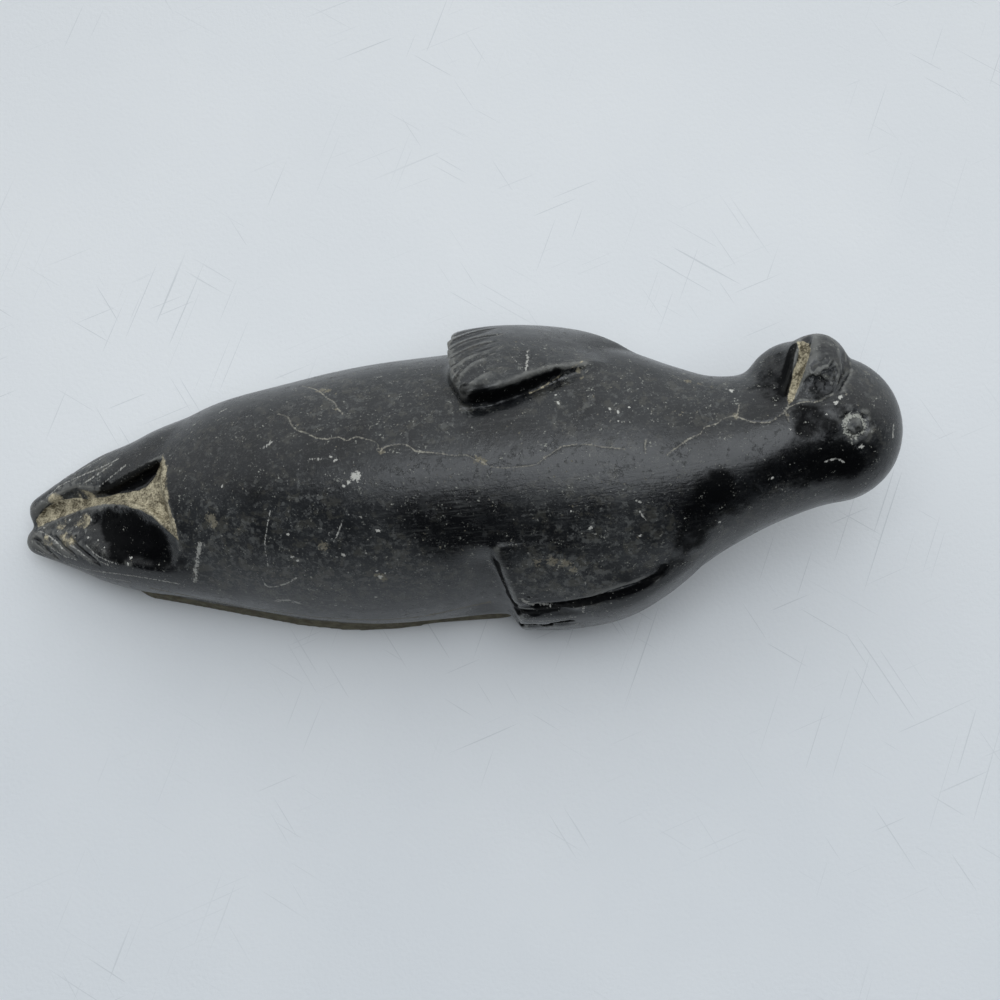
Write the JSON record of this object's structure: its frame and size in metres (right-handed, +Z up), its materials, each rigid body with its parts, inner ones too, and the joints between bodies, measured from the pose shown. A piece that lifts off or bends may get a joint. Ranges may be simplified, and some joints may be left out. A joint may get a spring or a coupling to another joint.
{
  "type": "seal figurine",
  "caption": "Carved black stone seal lying on its belly, its head raised and turned to its left, with scored front flippers and cleft hind flippers.",
  "frame": {"origin": "middle of the footprint on the resting plane, directly below the middle of the bounding box", "axes": "+X from the hind flippers towards the head, +Y the seal's left side, +Z up"},
  "size_m": [0.2482, 0.0878, 0.0684],
  "materials": {
    "black_stone": "hand polished, worn"
  },
  "bodies": {
    "root": {"seal": "black_stone"}
  },
  "joints": []
}
